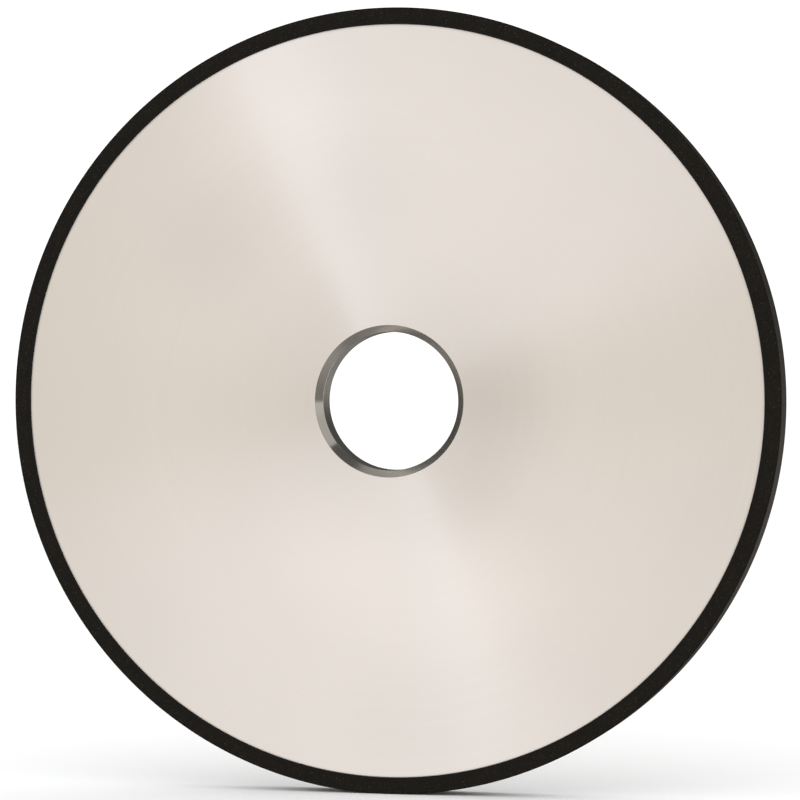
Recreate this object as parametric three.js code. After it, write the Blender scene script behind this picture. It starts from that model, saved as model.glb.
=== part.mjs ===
// Straight diamond grinding wheel: a turned aluminium core, a diamond-free transition layer moulded into
// a dovetail channel in the core's edge, and a resin-bond diamond rim moulded round that layer.
//
// Units are millimetres. The origin is the wheel's centre, the wheel spins about +Y, and +Z is up.
// The front face looks towards -Y.

import * as THREE from "three";

// Wheel
const WHEEL_DIAMETER = 180;
const RIM_WIDTH = 9.5; // across the grinding edge
const DIAMOND_DEPTH = 3; // radial depth of the layer that holds the diamond
const TRANSITION_DEPTH = 0.8; // radial depth of the diamond-free layer below it
const RIM_EDGE_BREAK = 0.25; // 45 degree break on the two outer corners

// Core
const BORE_DIAMETER = 31.75;
const BORE_CHAMFER = 1.6; // at 45 degrees, at both ends of the bore
const FACE_RELIEF = 0.1; // the core's faces lie this far below the sides of the rim
const CORE_BEVEL_WIDTH = 0.6; // shallow bevel round each face, where the core meets the layer
const CORE_BEVEL_DEPTH = 0.15;

// Dovetail channel in the core's edge. Its undercut sides keep the layer from being thrown off.
const CHANNEL_MOUTH = 5.2;
const CHANNEL_FLOOR = 6;
const CHANNEL_DEPTH = 0.9;

// Every ring has the same number of steps, so neighbouring pieces meet without a gap or an overlap.
const STEPS_ROUND = 180;

const wheelRadius = WHEEL_DIAMETER / 2;
const diamondInnerRadius = wheelRadius - DIAMOND_DEPTH;
const coreRadius = diamondInnerRadius - TRANSITION_DEPTH;
const channelRadius = coreRadius - CHANNEL_DEPTH;
const boreRadius = BORE_DIAMETER / 2;
const rimHalf = RIM_WIDTH / 2;
const coreHalf = rimHalf - FACE_RELIEF;

const point = (radius, along) => new THREE.Vector2(radius, along);

// Turns a section round the wheel's axis. Both sides of the wheel are alike, so only the front half
// of the section is listed, from its inner end to its outer end, and the back half mirrors it.
function turned(frontHalf) {
  const backHalf = frontHalf.map((p) => point(p.x, -p.y)).reverse();
  return new THREE.LatheGeometry([...frontHalf, ...backHalf, frontHalf[0]], STEPS_ROUND);
}

function aluminiumCore() {
  const geometry = turned([
    point(boreRadius, -coreHalf + BORE_CHAMFER),
    point(boreRadius + BORE_CHAMFER, -coreHalf),
    point(coreRadius - CORE_BEVEL_WIDTH, -coreHalf),
    point(coreRadius, -coreHalf + CORE_BEVEL_DEPTH),
    point(coreRadius, -CHANNEL_MOUTH / 2),
    point(channelRadius, -CHANNEL_FLOOR / 2),
  ]);
  const material = new THREE.MeshStandardMaterial({ color: 0xd6cfc6, roughness: 0.35, metalness: 1 });
  const mesh = new THREE.Mesh(geometry, material);
  mesh.name = "aluminium_core";
  return mesh;
}

function transitionLayer() {
  const geometry = turned([
    point(channelRadius, -CHANNEL_FLOOR / 2),
    point(coreRadius, -CHANNEL_MOUTH / 2),
    point(coreRadius, -coreHalf + CORE_BEVEL_DEPTH),
    point(coreRadius, -rimHalf),
    point(diamondInnerRadius, -rimHalf),
  ]);
  const material = new THREE.MeshStandardMaterial({ color: 0x2a2724, roughness: 0.55, metalness: 0 });
  const mesh = new THREE.Mesh(geometry, material);
  mesh.name = "transition_layer";
  return mesh;
}

function diamondRim() {
  const geometry = turned([
    point(diamondInnerRadius, -rimHalf),
    point(wheelRadius - RIM_EDGE_BREAK, -rimHalf),
    point(wheelRadius, -rimHalf + RIM_EDGE_BREAK),
  ]);
  const material = new THREE.MeshStandardMaterial({ color: 0x221f1b, roughness: 0.7, metalness: 0 });
  const mesh = new THREE.Mesh(geometry, material);
  mesh.name = "diamond_rim";
  return mesh;
}

const wheel = new THREE.Group();
wheel.name = "diamond_grinding_wheel";
wheel.add(aluminiumCore(), transitionLayer(), diamondRim());

export default wheel;
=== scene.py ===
import math

import bmesh
import bpy
from mathutils import Matrix, Vector


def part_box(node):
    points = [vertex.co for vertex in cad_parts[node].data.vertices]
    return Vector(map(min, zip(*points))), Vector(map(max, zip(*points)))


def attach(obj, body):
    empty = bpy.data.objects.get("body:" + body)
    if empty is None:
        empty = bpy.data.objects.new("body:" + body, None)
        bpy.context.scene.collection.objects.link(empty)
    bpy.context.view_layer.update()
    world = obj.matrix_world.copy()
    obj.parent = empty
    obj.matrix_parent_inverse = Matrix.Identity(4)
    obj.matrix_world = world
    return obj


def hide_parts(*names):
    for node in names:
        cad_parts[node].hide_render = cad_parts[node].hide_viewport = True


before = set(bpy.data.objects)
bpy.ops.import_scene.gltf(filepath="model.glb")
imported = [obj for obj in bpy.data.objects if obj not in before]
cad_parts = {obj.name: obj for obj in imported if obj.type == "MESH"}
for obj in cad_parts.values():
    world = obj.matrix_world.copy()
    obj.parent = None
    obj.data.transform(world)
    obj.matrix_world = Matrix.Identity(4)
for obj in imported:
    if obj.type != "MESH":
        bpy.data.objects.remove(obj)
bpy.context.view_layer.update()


# ---------------------------------------------------------------- Camera
# A long lens about 0.81 m in front of the wheel and 13 degrees round to its right, so that a
# sliver of the grinding edge shows down the right side and of the bore's wall on the left.

rim_low, rim_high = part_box("diamond_rim")
wheel_radius = rim_high.x
front_centre = Vector((0, rim_low.y, 0))

camera_azimuth = math.radians(13.055)
camera_elevation = math.radians(0.701)
camera_distance = 9.0132 * wheel_radius
camera_lens = 159.605
film_width = 36
aim_right = 0.0287 * wheel_radius  # from the middle of the front face
aim_up = 0.0032 * wheel_radius

to_camera = Vector((
    math.sin(camera_azimuth) * math.cos(camera_elevation),
    -math.cos(camera_azimuth) * math.cos(camera_elevation),
    math.sin(camera_elevation),
))
camera_right = Vector((math.cos(camera_azimuth), math.sin(camera_azimuth), 0))
camera_up = to_camera.cross(camera_right)
aim = front_centre + aim_right * camera_right + aim_up * camera_up

bpy.ops.object.camera_add(location=aim + camera_distance * to_camera)
camera = bpy.context.object
camera.name = "camera"
camera.rotation_euler = (-to_camera).to_track_quat("-Z", "Y").to_euler()
camera.data.lens = camera_lens
camera.data.sensor_width = film_width
camera.data.dof.use_dof = False
bpy.context.scene.camera = camera


# ---------------------------------------------------------------- Aluminium core
# The wheel's body: a disc turned from aluminium plate, faced on both sides in one cut so the tool leaves
# fine circular marks. The bore is ground to size and chamfered, and the edge carries the dovetail channel.

mm = 0.001
steps_round = 360
same_place = 0.0001 * mm  # points closer than this are one

core_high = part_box("aluminium_core")[1]
core_radius = core_high.x
core_half = core_high.y
bore_radius = min(math.hypot(v.co.x, v.co.z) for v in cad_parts["aluminium_core"].data.vertices)
bore_chamfer = 1.6 * mm
face_bevel_width = 0.6 * mm
face_bevel_depth = 0.15 * mm
channel_mouth = 5.2 * mm
channel_floor = 6 * mm
channel_depth = 0.9 * mm

feed_mark = 0.12 * mm  # width of one fine mark of the facing tool
feed_arc = 0.8  # radians before a mark gives way to others
pass_band = 2.2 * mm  # width of a broader band, where the tool cut a little rougher or finer
pass_arc = 1.5

face_colour = (0.735, 0.703, 0.667)
# The bore and its chamfer are painted darker than the face: painted shade, for how the inside of a hole
# looks darker.
bore_colour_painted_darker = (0.66, 0.645, 0.62)
across_the_marks = 0.25  # of a turn
mark_depth = 0.001 * mm

# How bright the faced metal is painted from the bore to the edge, by its part of the wheel's radius:
# painted shade, darker near the bore and towards the edge where its reflections are dimmer
face_shade_by_radius = [(0.16, 0.91), (0.36, 0.98), (0.50, 1.0), (0.68, 1.0), (0.95, 0.95)]
even_tone = [(0, 1), (1, 1)]

# Patches of the front face painted brighter or darker, as painted highlights and painted shade in its
# reflections: x, z and reach in mm, and by how much
painted_patches = [
    (-32, 68, 26, 0.05),
    (-14, -33, 26, 0.05),
    (23, -41, 22, 0.05),
    (-5, 48, 23, -0.06),
    (-42, 36, 24, -0.045),
    (25, 0, 22, -0.08),
    (21, -19, 14, -0.04),
    (2, -72, 24, -0.04),
]


def pick(piece, wanted):
    """In edit mode, selects the points whose place passes the test, and nothing else."""
    mesh = bmesh.from_edit_mesh(piece.data)
    bpy.ops.mesh.select_all(action="DESELECT")
    for point in mesh.verts:
        point.select = wanted(point.co)
    mesh.select_flush(True)
    bmesh.update_edit_mesh(piece.data)


def turned(name, front_half, corner_round):
    """Turns a ring. The front half of its section is listed from the inner end to the outer end as
    (radius, distance in front of the middle), the back half mirrors it, and every corner is rounded."""
    section = [(r, -y) for r, y in front_half] + [(r, y) for r, y in reversed(front_half)]
    bpy.ops.object.select_all(action="DESELECT")
    bpy.ops.mesh.primitive_plane_add(size=mm)
    piece = bpy.context.object
    piece.name = name
    bpy.ops.object.mode_set(mode="EDIT")
    bpy.ops.mesh.merge(type="CENTER")
    bpy.ops.transform.translate(value=(*section[0], 0))
    for (r0, y0), (r1, y1) in zip(section, section[1:]):
        bpy.ops.mesh.extrude_vertices_move(TRANSFORM_OT_translate={"value": (r1 - r0, y1 - y0, 0)})
    ends = [section[0], section[-1]]
    pick(piece, lambda co: any(math.hypot(co.x - r, co.y - y) < same_place for r, y in ends))
    bpy.ops.mesh.edge_face_add()
    bpy.ops.mesh.select_all(action="SELECT")
    bpy.ops.mesh.bevel(offset=corner_round, segments=3, affect="VERTICES")
    bpy.ops.mesh.select_all(action="SELECT")
    bpy.ops.mesh.spin(steps=steps_round, angle=math.tau, center=(0, 0, 0), axis=(0, 1, 0))
    bpy.ops.mesh.select_all(action="SELECT")
    bpy.ops.mesh.remove_doubles(threshold=0.001 * mm)
    bpy.ops.mesh.normals_make_consistent(inside=False)
    bpy.ops.object.mode_set(mode="OBJECT")
    bpy.ops.object.shade_smooth_by_angle(angle=math.radians(40))
    weighted = piece.modifiers.new("flat faces stay flat", "WEIGHTED_NORMAL")
    weighted.keep_sharp = True
    bpy.ops.object.modifier_apply(modifier=weighted.name)
    return piece


core = turned("turned_core", [
    (bore_radius, core_half - bore_chamfer),
    (bore_radius + bore_chamfer, core_half),
    (core_radius - face_bevel_width, core_half),
    (core_radius, core_half - face_bevel_depth),
    (core_radius, channel_mouth / 2),
    (core_radius - channel_depth, channel_floor / 2),
], corner_round=0.06 * mm)


class Nodes:
    """A tree of nodes. Most methods add to the tree and return the output to use."""

    def __init__(self, tree):
        self.tree = tree

    def node(self, kind, **settings):
        node = self.tree.nodes.new(kind)
        for setting, value in settings.items():
            setattr(node, setting, value)
        return node

    def put(self, socket, value):
        """Links a socket to a node's output, or sets it to a plain value."""
        if isinstance(value, bpy.types.NodeSocket):
            self.tree.links.new(value, socket)
        else:
            socket.default_value = value

    def maths(self, operation, *values):
        node = self.node("ShaderNodeMath", operation=operation)
        for socket, value in zip(node.inputs, values):
            self.put(socket, value)
        return node.outputs["Value"]

    def vector(self, operation, *values, output="Vector"):
        node = self.node("ShaderNodeVectorMath", operation=operation)
        for socket, value in zip(node.inputs, values):
            self.put(socket, value)
        return node.outputs[output]

    def scaled(self, vector, by):
        """A vector or a colour times a number."""
        node = self.node("ShaderNodeVectorMath", operation="SCALE")
        self.put(node.inputs["Vector"], vector)
        self.put(node.inputs["Scale"], by)
        return node.outputs["Vector"]

    def fade(self, value, none, full):
        """0 where a value is at none, rising smoothly to 1 where it is at full."""
        node = self.node("ShaderNodeMapRange", interpolation_type="SMOOTHSTEP")
        self.put(node.inputs["Value"], value)
        node.inputs["From Min"].default_value = none
        node.inputs["From Max"].default_value = full
        return node.outputs["Result"]


class Finish(Nodes):
    """A material, whose patterns follow the place on the wheel."""

    def __init__(self, name):
        self.material = bpy.data.materials.new(name)
        self.material.use_nodes = True
        super().__init__(self.material.node_tree)
        self.surface = self.tree.nodes["Principled BSDF"].inputs
        self.place = self.node("ShaderNodeTexCoord").outputs["Object"]

    def about(self, factor, middle, swing):
        """A number that swings either side of its middle as a factor goes from 0 to 1."""
        return self.maths("MULTIPLY_ADD", factor, 2 * swing, middle - swing)

    def from_axis(self):
        """The way from the wheel's axis to the place, square to the axis."""
        return self.vector("MULTIPLY", self.place, (1, 0, 1))

    def radius(self):
        return self.vector("LENGTH", self.from_axis(), output="Value")

    def noise(self, place, scale, detail, output="Fac"):
        node = self.node("ShaderNodeTexNoise")
        self.put(node.inputs["Vector"], place)
        node.inputs["Scale"].default_value = scale
        node.inputs["Detail"].default_value = detail
        return node.outputs[output]

    def streaks(self, across, width, arc, seed=0.0):
        """Noise drawn out round the wheel. A streak's width in metres is measured along across, and
        its arc is in radians. Another seed gives other streaks."""
        way = self.vector("NORMALIZE", self.from_axis())
        along = self.node("ShaderNodeCombineXYZ")
        along.inputs["X"].default_value = seed
        self.put(along.inputs["Y"], self.maths("MULTIPLY", across, 1 / width))
        place = self.vector("ADD", self.scaled(way, 1 / arc), along.outputs["Vector"])
        return self.noise(place, scale=1.0, detail=2.0)

    def curve(self, factor, stops):
        """A smooth curve that follows its stops, each a place and a level between 0 and 1."""
        node = self.node("ShaderNodeValToRGB")
        node.color_ramp.interpolation = "B_SPLINE"
        bands = node.color_ramp.elements
        while len(bands) < len(stops):
            bands.new(0.5)
        for band, (place, _) in zip(bands, stops):
            band.position = place
        for band, (_, level) in zip(bands, stops):
            band.color = (level, level, level, 1)
        self.put(node.inputs["Fac"], factor)
        return node.outputs["Color"]

    def spot(self, tone, centre, reach, by):
        """Makes a tone lighter or darker by a fraction at a place, fading to nothing within a reach."""
        near = self.fade(self.vector("DISTANCE", self.place, centre, output="Value"), reach, 0.0)
        return self.maths("MULTIPLY", tone, self.maths("MULTIPLY_ADD", near, by, 1.0))

    def bump(self, height, rise):
        node = self.node("ShaderNodeBump")
        node.inputs["Distance"].default_value = rise
        self.put(node.inputs["Height"], height)
        self.put(self.surface["Normal"], node.outputs["Normal"])


def turned_aluminium(name, colour, roughness, grain, tone_by_radius, painted_spots=()):
    """Bright metal with fine marks round the wheel, which stretch its reflections across them by the
    grain, from 0 to 1."""
    finish = Finish(name)
    radius = finish.radius()
    feed_marks = finish.streaks(radius, feed_mark, feed_arc)
    passes = finish.streaks(radius, pass_band, pass_arc, seed=7.0)
    clouding = finish.noise(finish.place, scale=28.0, detail=3.0)
    # For the front face, the ramp by radius is painted shade, darker near the bore and towards the edge.
    tone = finish.curve(finish.maths("DIVIDE", radius, wheel_radius), tone_by_radius)
    for marks, swing in ((passes, 0.024), (feed_marks, 0.024), (clouding, 0.01)):
        tone = finish.maths("MULTIPLY", tone, finish.about(marks, 1.0, swing))
    # Painted highlights and shade: each listed patch makes the colour brighter or darker in a soft round
    # spot.
    for x, z, reach, by in painted_spots:
        tone = finish.spot(tone, (x * mm, -core_half, z * mm), reach * mm, by)
    finish.put(finish.surface["Base Color"], finish.scaled(colour, tone))
    rough = finish.maths("ADD", finish.about(passes, roughness, 0.02), finish.about(clouding, 0.0, 0.03))
    finish.put(finish.surface["Roughness"], rough)
    finish.put(finish.surface["Metallic"], 1)
    finish.put(finish.surface["Anisotropic"], grain)
    finish.put(finish.surface["Anisotropic Rotation"], across_the_marks)
    tangent = finish.node("ShaderNodeTangent", direction_type="RADIAL", axis="Y")
    finish.put(finish.surface["Tangent"], tangent.outputs["Tangent"])
    finish.bump(feed_marks, mark_depth)
    return finish.material


# The face's colour carries painted highlights and shade; the bore's darker colour is painted shade.
core.data.materials.append(turned_aluminium(
    "turned face with painted highlights and shade", face_colour, roughness=0.30, grain=1.0, tone_by_radius=face_shade_by_radius, painted_spots=painted_patches))
core.data.materials.append(turned_aluminium(
    "ground bore with painted shade", bore_colour_painted_darker, roughness=0.14, grain=0.5, tone_by_radius=even_tone))
for face in core.data.polygons:
    if math.hypot(face.center.x, face.center.z) < bore_radius + bore_chamfer:
        face.material_index = 1

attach(core, "root")
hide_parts("aluminium_core")


# ---------------------------------------------------------------- Transition layer
# Filled resin without diamond, pressed hot into the core's channel and turned flush with the rim's sides.
# It fills the dovetail, so that nothing but the resin itself would have to shear to let go.

layer_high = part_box("transition_layer")[1]
layer_radius = layer_high.x
side_half = layer_high.y
layer_colour = (0.0053, 0.0043, 0.0029)
resin_gloss = 0.12

layer = turned("moulded_layer", [
    (core_radius - channel_depth, channel_floor / 2),
    (core_radius, channel_mouth / 2),
    (core_radius, core_half - face_bevel_depth),
    (core_radius, side_half),
    (layer_radius, side_half),
], corner_round=0.03 * mm)


def mottled(finish, swing):
    """The tone of resin with mineral filler in it, and its fine grain."""
    patches = finish.noise(finish.place, scale=260.0, detail=3.0)
    grain = finish.noise(finish.place, scale=5000.0, detail=2.0)
    tone = finish.maths("MULTIPLY", finish.about(patches, 1.0, swing), finish.about(grain, 1.0, swing))
    return tone, grain


def dull(finish, colour, tone, roughness, grain, height, rise):
    """Gives a finish its dull surface, raised by its height times a rise in metres."""
    finish.put(finish.surface["Base Color"], finish.scaled(colour, tone))
    finish.put(finish.surface["Roughness"], finish.about(grain, roughness, 0.1))
    finish.put(finish.surface["Specular IOR Level"], resin_gloss)
    finish.bump(height, rise)


filled_resin = Finish("filled resin")
layer_tone, layer_grain = mottled(filled_resin, swing=0.2)
dull(filled_resin, layer_colour, layer_tone, roughness=0.55, grain=layer_grain,
     height=layer_grain, rise=0.004 * mm)

layer.data.materials.append(filled_resin.material)
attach(layer, "root")
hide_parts("transition_layer")


# ---------------------------------------------------------------- Diamond rim
# Diamond grit in a phenolic resin bond, pressed round the layer and trued to size. Truing leaves the
# corners slightly broken and the grit standing a little proud of the bond.

edge_break = 0.25 * mm
rim_colour = (0.0056, 0.0043, 0.0025)
grain_cells = 3200  # cells in a metre, each with room for one grain
grain_radius = 0.33  # of a cell
grain_drift = 1.2 * mm  # the range within which grains stray from even rows
grain_paler = 8.0  # how much paler a bare grain is than the resin
grain_rarity = 4.0  # the higher, the fewer grains are clear to see
grain_proud = 3.0  # how high a bare grain stands, in heights of the resin's own grain
trued_paler = 1.2  # how much paler the grinding edge is than the sides, on average
trued_depth = (0.3 * mm, 0.1 * mm)  # below the edge, where the paler band starts and where it is full
trued_margin = (0.3 * mm, 1.6 * mm)  # in from the sides, the same
trued_line = 0.25 * mm  # width of one line that the truing stone leaves
trued_arc = 0.5

rim = turned("diamond_ring", [
    (layer_radius, side_half),
    (wheel_radius - edge_break, side_half),
    (wheel_radius, side_half - edge_break),
], corner_round=0.05 * mm)


def bare_diamond(finish):
    """Specks where truing has laid a grain bare, each as clear as it happens to be."""
    drift = finish.noise(finish.place, scale=700.0, detail=2.0, output="Color")
    strewn = finish.vector("MULTIPLY_ADD", drift, (grain_drift,) * 3, finish.place)
    cells = finish.node("ShaderNodeTexVoronoi")
    finish.put(cells.inputs["Vector"], strewn)
    finish.put(cells.inputs["Scale"], grain_cells)
    chance = finish.node("ShaderNodeSeparateColor")
    finish.put(chance.inputs["Color"], cells.outputs["Color"])
    speck = finish.maths("LESS_THAN", cells.outputs["Distance"], grain_radius)
    return finish.maths("MULTIPLY", speck, finish.maths("POWER", chance.outputs["Red"], grain_rarity))


def trued_edge(finish):
    """How much paler truing has made the rim: over the grinding edge, with fine lines along it."""
    split = finish.node("ShaderNodeSeparateXYZ")
    finish.put(split.inputs["Vector"], finish.place)
    depth = split.outputs["Y"]
    edge = finish.fade(finish.radius(), *(wheel_radius - below for below in trued_depth))
    middle = finish.fade(finish.maths("ABSOLUTE", depth), *(side_half - inward for inward in trued_margin))
    lines = finish.about(finish.streaks(depth, trued_line, trued_arc, seed=3.0), trued_paler, trued_paler)
    return finish.maths("MULTIPLY", edge, finish.maths("MULTIPLY", middle, lines))


diamond_resin = Finish("diamond resin")
rim_tone, rim_grain = mottled(diamond_resin, swing=0.35)
bare = bare_diamond(diamond_resin)
rim_tone = diamond_resin.maths("MULTIPLY_ADD", bare, grain_paler, rim_tone)
rim_tone = diamond_resin.maths(
    "MULTIPLY", rim_tone, diamond_resin.maths("ADD", trued_edge(diamond_resin), 1.0))
rim_height = diamond_resin.maths("MULTIPLY_ADD", bare, grain_proud, rim_grain)
dull(diamond_resin, rim_colour, rim_tone, roughness=0.6, grain=rim_grain,
     height=rim_height, rise=0.012 * mm)

rim.data.materials.append(diamond_resin.material)
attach(rim, "root")
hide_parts("diamond_rim")


# ---------------------------------------------------------------- Floor
# A sheet of white paper that the wheel stands on, wide enough to have no edge in sight. It is kept out
# of reflections, where a glow from below stands for it.

floor_width = 8

bpy.ops.object.select_all(action="DESELECT")
bpy.ops.mesh.primitive_plane_add(size=floor_width, location=(0, 0, -wheel_radius))
floor = bpy.context.object
floor.name = "floor"
floor.visible_glossy = False
paper = Finish("white paper")
paper.put(paper.surface["Base Color"], (0.95, 0.95, 0.95, 1))
paper.put(paper.surface["Roughness"], 1)
paper.put(paper.surface["Specular IOR Level"], 0)
floor.data.materials.append(paper.material)


# ---------------------------------------------------------------- Soft boxes
# Three cool boxes beside the place where the faced metal mirrors the camera draw the bright fans on it.
# A warm one to the right lights the bore's chamfer.

warm_white = (1.0, 0.951, 0.879)
cool_white = (0.716, 0.764, 1.0)
box_distance = 1.2

# The direction that the front face mirrors to the camera, with its right and its up
mirror_way = Vector((-to_camera.x, to_camera.y, -to_camera.z))
mirror_right = Vector((0, 0, 1)).cross(mirror_way).normalized()
mirror_up = mirror_right.cross(-mirror_way)


def soft_box(name, centre, faces, upright, width, height, radiance, colour):
    """A rectangular soft light, as bright all over as the given radiance. It faces along one direction
    and its height runs along another."""
    facing_way = Vector(faces).normalized()
    up_way = (Vector(upright) - facing_way * facing_way.dot(Vector(upright))).normalized()
    right_way = up_way.cross(-facing_way)
    turn = Matrix((right_way, up_way, -facing_way)).transposed().to_4x4()
    bpy.ops.object.light_add(type="AREA")
    box = bpy.context.object
    box.name = name
    box.matrix_world = Matrix.Translation(centre) @ turn
    box.data.shape = "RECTANGLE"
    box.data.size = width
    box.data.size_y = height
    box.data.color = colour
    box.data.energy = radiance * math.pi * width * height
    box.visible_camera = False


def fan_box(name, turn, left, bottom, width, height, radiance):
    """A cool soft box square to the mirrored camera direction. Left and bottom are its edges' distances
    from the line of that direction, in box distances, once the box is turned anticlockwise by an angle."""
    turn = math.radians(turn)
    upright = math.cos(turn) * mirror_up - math.sin(turn) * mirror_right
    across = math.cos(turn) * mirror_right + math.sin(turn) * mirror_up
    centre = mirror_way + across * (left + width / 2) + upright * (bottom + height / 2)
    soft_box(name, box_distance * centre, -mirror_way, upright,
             box_distance * width, box_distance * height, radiance, cool_white)


fan_box("key", turn=24.2, left=0.0, bottom=-0.014, width=1.37, height=1.15, radiance=0.214)
fan_box("strip", turn=29.0, left=0.0, bottom=0.20, width=0.13, height=0.95, radiance=0.66)
fan_box("lower_fill", turn=185.7, left=-0.37, bottom=0.05, width=0.73, height=1.19, radiance=0.276)
soft_box("side", centre=(0.87, -0.22, 0.43), faces=(-1, 0.25, 0), upright=(0, 0, 1),
         width=0.35, height=0.86, radiance=0.45, colour=warm_white)


# ---------------------------------------------------------------- White tent
# The tent round the wheel is plain white, except in reflections. There it is warm and nearly dark, with
# broad glows that light the faces and the parts of the bore one by one.

tent_white = 1.12
tent_dim = 0.07

world = bpy.data.worlds.new("white tent")
bpy.context.scene.world = world
world.use_nodes = True
world.node_tree.nodes.clear()
tent = Nodes(world.node_tree)
tent_way = tent.node("ShaderNodeTexCoord").outputs["Generated"]


def glow(direction, edge, full):
    """1 where the tent lies within the angle full of a direction, fading to 0 at the angle edge."""
    nearness = tent.vector("DOT_PRODUCT", tent_way, Vector(direction).normalized(), output="Value")
    return tent.fade(nearness, math.cos(math.radians(edge)), math.cos(math.radians(full)))


# Each glow's strength, its direction, its angles edge and full, and the part that mirrors it
glows = [
    (0.96, mirror_way, 90, 41),  # the front face
    (1.5, (0.67, 0.69, -0.26), 31, 8),  # the back face, seen from behind on the left
    (0.15, (0.15, 0.93, -0.35), 30, 8),  # the bore's wall at the upper left
    (0.13, (0, 0, -1), 85, 45),  # the chamfer at the top, where it stands for the floor
    (0.5, (0.8, 0.4, 0.45), 34, 18),  # the chamfer on the right, by way of the wall across from it
    (0.24, (-0.2, 0, 1), 32, 15),  # the chamfer at the bottom
]
reflected = tent_dim
for strength, direction, edge, full in glows:
    reflected = tent.maths("MULTIPLY_ADD", glow(direction, edge, full), strength, reflected)

# One more for the chamfer at the upper left. It stops level with the wheel, because from farther back the
# chamfer at the lower right would mirror it by way of the wall.
in_front = glow((0, -1, 0), 91, 81)
upper_left = tent.maths("MULTIPLY", glow((0.88, -0.25, -0.4), 44, 18), in_front)
reflected = tent.maths("MULTIPLY_ADD", upper_left, 0.15, reflected)

plain = tent.node("ShaderNodeBackground")
tent.put(plain.inputs["Color"], (1, 1, 1, 1))
tent.put(plain.inputs["Strength"], tent_white)
mirrored = tent.node("ShaderNodeBackground")
tent.put(mirrored.inputs["Color"], (*warm_white, 1))
tent.put(mirrored.inputs["Strength"], reflected)
either = tent.node("ShaderNodeMixShader")
tent.put(either.inputs["Fac"], tent.node("ShaderNodeLightPath").outputs["Is Glossy Ray"])
tent.put(either.inputs[1], plain.outputs["Background"])
tent.put(either.inputs[2], mirrored.outputs["Background"])
tent_output = tent.node("ShaderNodeOutputWorld")
tent.put(tent_output.inputs["Surface"], either.outputs["Shader"])

bpy.context.scene.view_settings.view_transform = "Standard"
